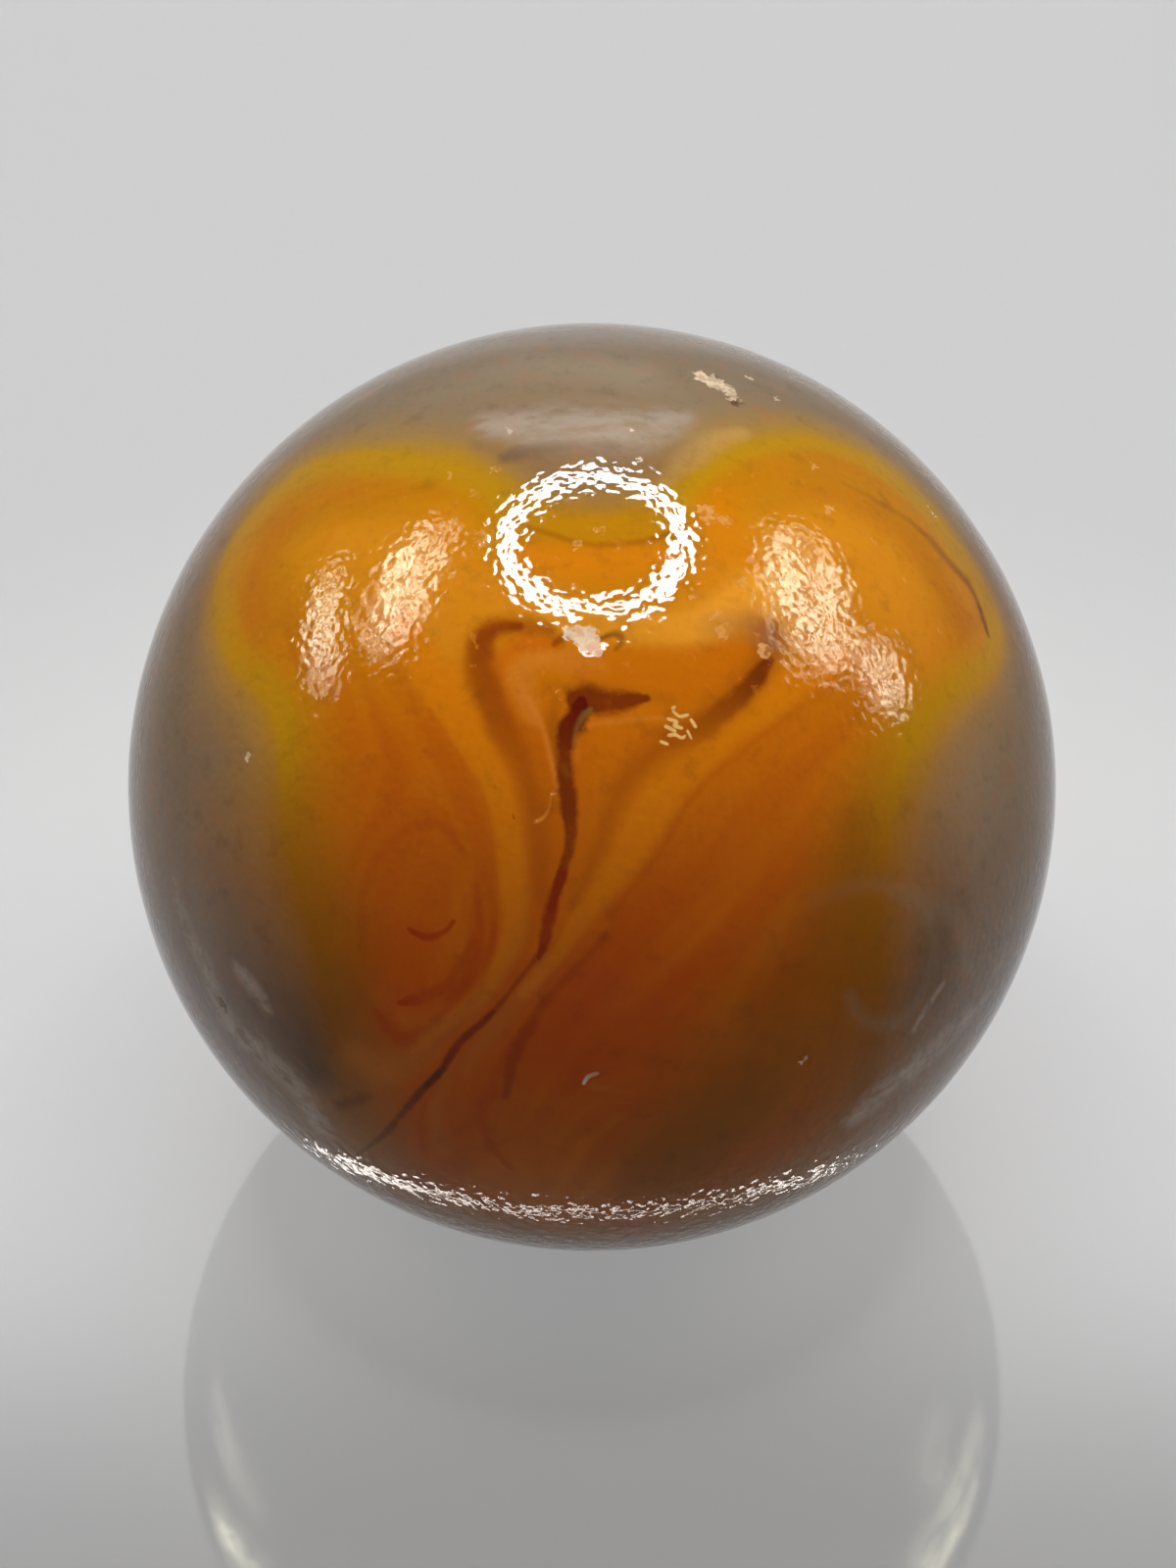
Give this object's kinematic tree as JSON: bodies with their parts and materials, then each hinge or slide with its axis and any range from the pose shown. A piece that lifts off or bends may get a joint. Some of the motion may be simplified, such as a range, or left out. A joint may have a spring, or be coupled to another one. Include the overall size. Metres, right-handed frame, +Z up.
{
  "type": "glass marble",
  "caption": "Solid glass ball with an amber, orange and brown swirl in smoky grey glass, chipped and pitted by play.",
  "frame": {"origin": "centre of the ball", "axes": "+Z up; the marked face with the swirl looks towards -Y and 42 degrees upwards; +X to its right"},
  "size_m": [0.016, 0.016, 0.016],
  "materials": {
    "swirled_glass": "glossy translucent glass with a fine orange-peel skin: amber and orange-brown swirl in smoky taupe grey"
  },
  "bodies": {
    "root": {"marble": "swirled_glass"}
  },
  "joints": []
}
